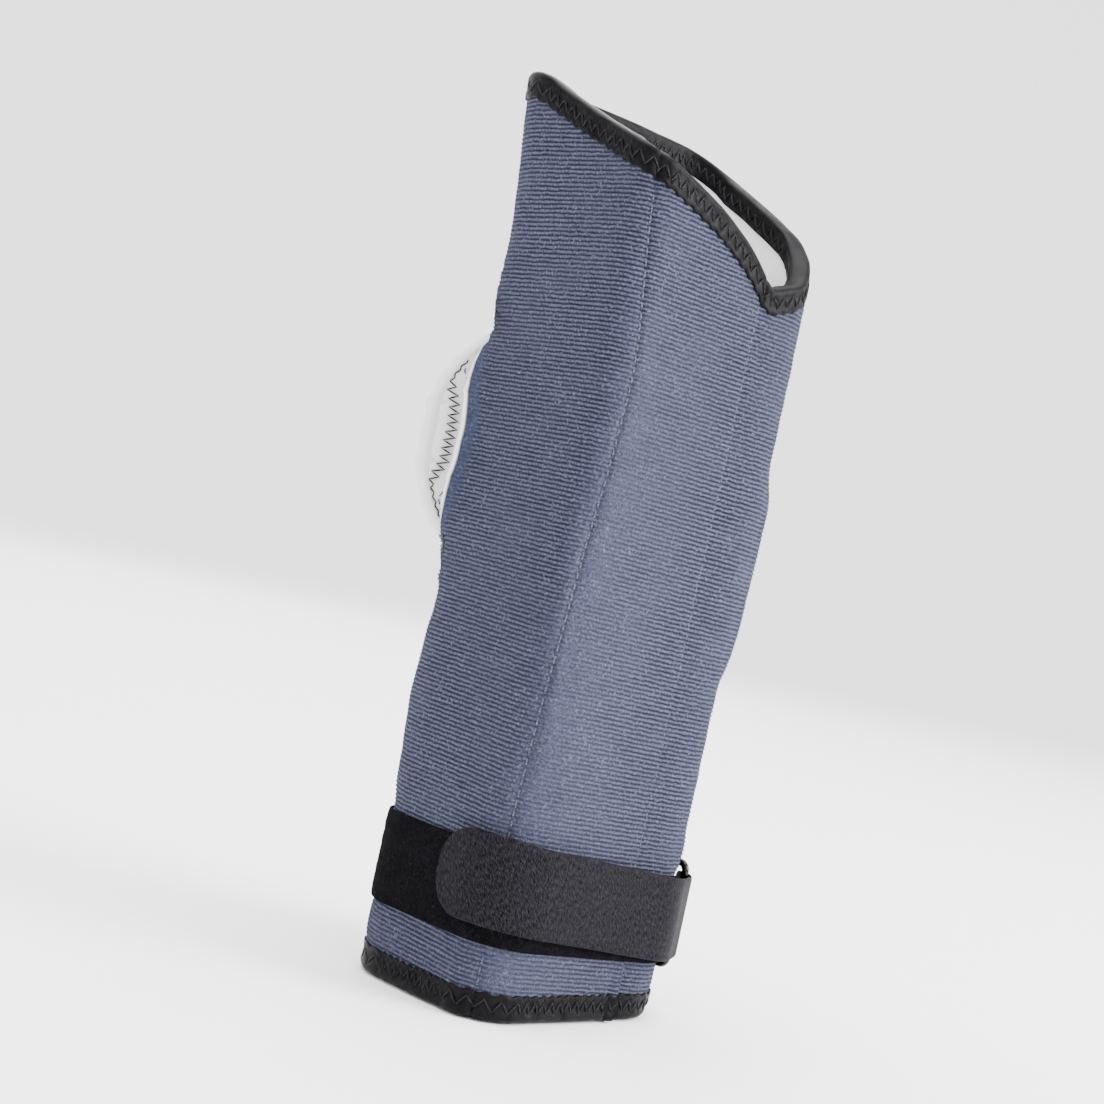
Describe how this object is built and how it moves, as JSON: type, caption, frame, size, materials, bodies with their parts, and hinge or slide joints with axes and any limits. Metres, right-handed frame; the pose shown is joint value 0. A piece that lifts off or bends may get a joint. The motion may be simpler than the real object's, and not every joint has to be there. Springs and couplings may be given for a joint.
{
  "type": "wrist and hand night splint",
  "caption": "Padded sleeve splint for the wrist and hand with a thumb hole, stiffening stays and a cinch strap folded back through a ring.",
  "frame": {"origin": "centre of the forearm opening, on the plane that the splint stands on", "axes": "+Z from the forearm opening to the fingers; -Y is the back of the hand, +Y the palm, -X the thumb side, +X the little-finger side"},
  "size_m": [0.0973, 0.0726, 0.2812],
  "materials": {
    "shell_knit": "matte",
    "foam": "matte",
    "lining": "matte",
    "binding": "matte",
    "loop_strap": "matte",
    "strap_web": "matte",
    "hook": "matte",
    "thread_dark": "matte",
    "thread_light": "matte",
    "stay_sleeve": "matte",
    "stay": "satin",
    "cap": "satin",
    "ring_plastic": "gloss"
  },
  "bodies": {
    "sleeve": {"dorsal_cover": "shell_knit", "palmar_cover": "shell_knit", "dorsal_foam": "foam", "palmar_foam": "foam", "dorsal_lining": "lining", "palmar_lining": "lining", "forearm_binding_dorsal": "binding", "forearm_binding_palmar": "binding", "hand_binding_dorsal": "binding", "hand_binding_palmar": "binding", "thumb_hole_facing": "lining", "dorsal_stay": "stay", "dorsal_stay_end_caps": "cap", "dorsal_stay_backing": "stay_sleeve", "palmar_stay_pocket": "stay_sleeve", "strap_band": "loop_strap", "ring_keeper": "strap_web", "channel_stitches": "thread_light", "seam_stitches": "thread_light", "hand_binding_stitches": "thread_dark", "forearm_binding_stitches": "thread_dark", "thumb_hole_stitches": "thread_dark", "strap_box_stitch": "thread_dark", "keeper_box_stitch": "thread_dark", "pocket_stitches": "thread_light"},
    "ring": {"strap_ring": "ring_plastic", "strap_fold": "strap_web"},
    "tail": {"strap_tail": "strap_web", "hook_patch": "hook"},
    "palm_stay": {"palmar_stay": "stay", "palmar_stay_end_caps": "cap"}
  },
  "joints": [
    {"name": "strap_tail_peel", "type": "hinge", "parent": "ring", "child": "tail", "pos_m": [0.0473, -0.0228, 0.0315], "axis": [0, 0, 1], "range_deg": [0, 120]},
    {"name": "ring_swing", "type": "hinge", "parent": "sleeve", "child": "ring", "pos_m": [0.0462, -0.008, 0.0315], "axis": [0, 0, 1], "range_deg": [0, 25]},
    {"name": "palmar_stay_slide", "type": "slide", "parent": "sleeve", "child": "palm_stay", "axis": [0, 0, 1], "range_m": [0, 0.2]}
  ],
  "couplings": [
    {"joint": "ring_swing", "follows": "strap_tail_peel", "ratio": 0.2}
  ]
}
